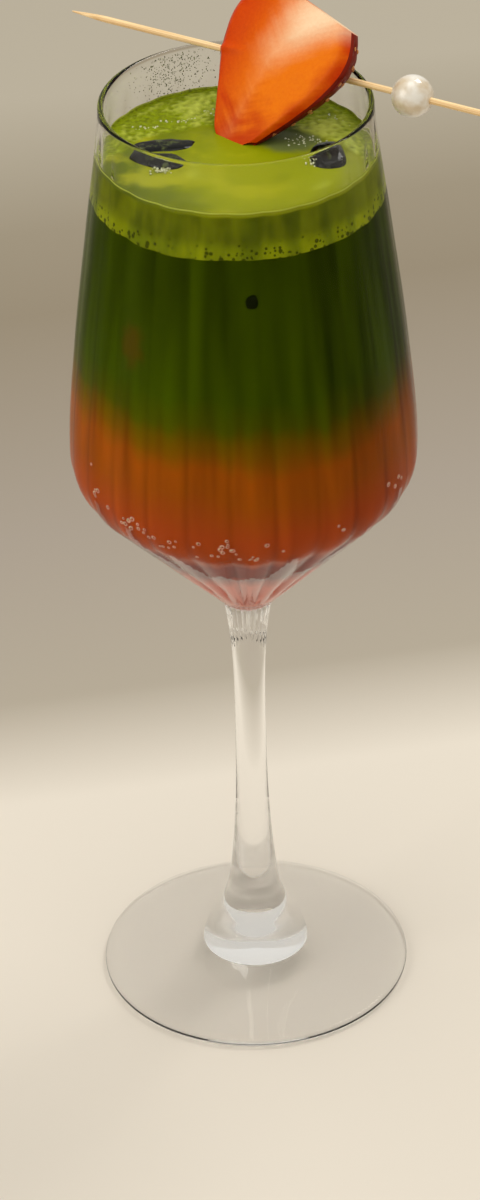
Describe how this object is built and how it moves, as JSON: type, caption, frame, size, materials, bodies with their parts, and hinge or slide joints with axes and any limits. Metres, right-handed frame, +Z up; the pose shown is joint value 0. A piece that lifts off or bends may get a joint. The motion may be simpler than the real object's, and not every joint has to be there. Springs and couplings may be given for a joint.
{
  "type": "glass of matcha tonic",
  "caption": "Stemmed glass of layered matcha tonic with green foam on a red berry base, a strawberry half and a pearl bead on a bamboo pick across the rim.",
  "frame": {"origin": "centre of the flat underside of the foot, on the glass's axis", "axes": "+Z up along the glass's axis, +X towards the bead's end of the pick, -Y towards the side that the cut strawberry faces"},
  "size_m": [0.1057, 0.0818, 0.2408],
  "materials": {
    "clear_glass": "polished",
    "berry_tonic": "gloss",
    "matcha": "gloss",
    "matcha_foam": "satin",
    "bamboo": "satin",
    "pearl": "gloss",
    "strawberry": "satin"
  },
  "bodies": {
    "root": {"glass": "clear_glass", "berry_tonic": "berry_tonic", "matcha": "matcha", "foam": "matcha_foam", "pick": "bamboo", "pearl_bead": "pearl", "strawberry_half": "strawberry"}
  },
  "joints": []
}
